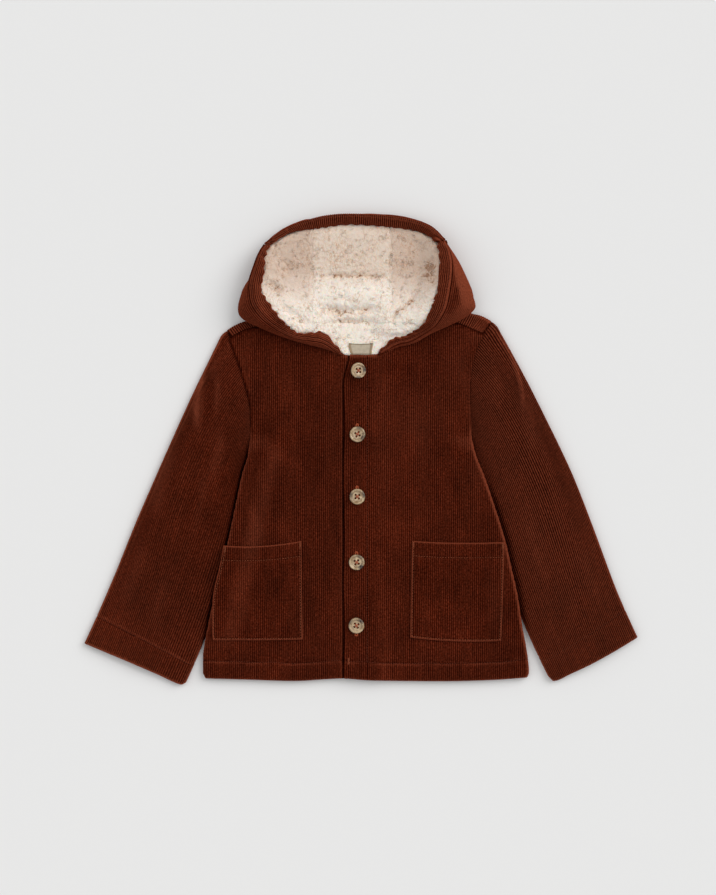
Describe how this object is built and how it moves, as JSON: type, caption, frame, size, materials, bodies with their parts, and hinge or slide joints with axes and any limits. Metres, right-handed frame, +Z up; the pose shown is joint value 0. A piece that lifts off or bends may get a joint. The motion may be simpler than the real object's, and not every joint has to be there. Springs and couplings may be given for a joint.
{
  "type": "corduroy coat",
  "caption": "Toddler's hooded corduroy coat with a fleece-lined hood, patch pockets and a buttoned front, laid flat on its back.",
  "frame": {"origin": "under the middle of the laid-out coat, on the surface it lies on: the centre of the bounding box, at its base", "axes": "+X from the wearer's right hand to the left hand, across both sleeves; +Y from the hem to the hood; +Z up, out of the front of the coat"},
  "size_m": [0.6072, 0.5177, 0.036],
  "materials": {
    "corduroy": "rust brown cotton corduroy, about 11 ribs to the inch, with its fleece lining behind it",
    "fleece": "curly cream sherpa fleece",
    "label": "bare woven tape",
    "horn": "satin mock horn, tan with smoky brown patches"
  },
  "bodies": {
    "root": {"back": "corduroy", "front_right": "corduroy", "front_left": "corduroy", "pocket_right": "corduroy", "pocket_left": "corduroy", "sleeve_right": "corduroy", "sleeve_left": "corduroy", "hood_right": "corduroy", "hood_centre": "corduroy", "hood_left": "corduroy", "lining_right": "fleece", "lining_left": "fleece", "lining_centre": "fleece", "lining_neck": "fleece", "neck_label": "label", "button_1": "horn", "button_2": "horn", "button_3": "horn", "button_4": "horn", "button_5": "horn"}
  },
  "joints": []
}
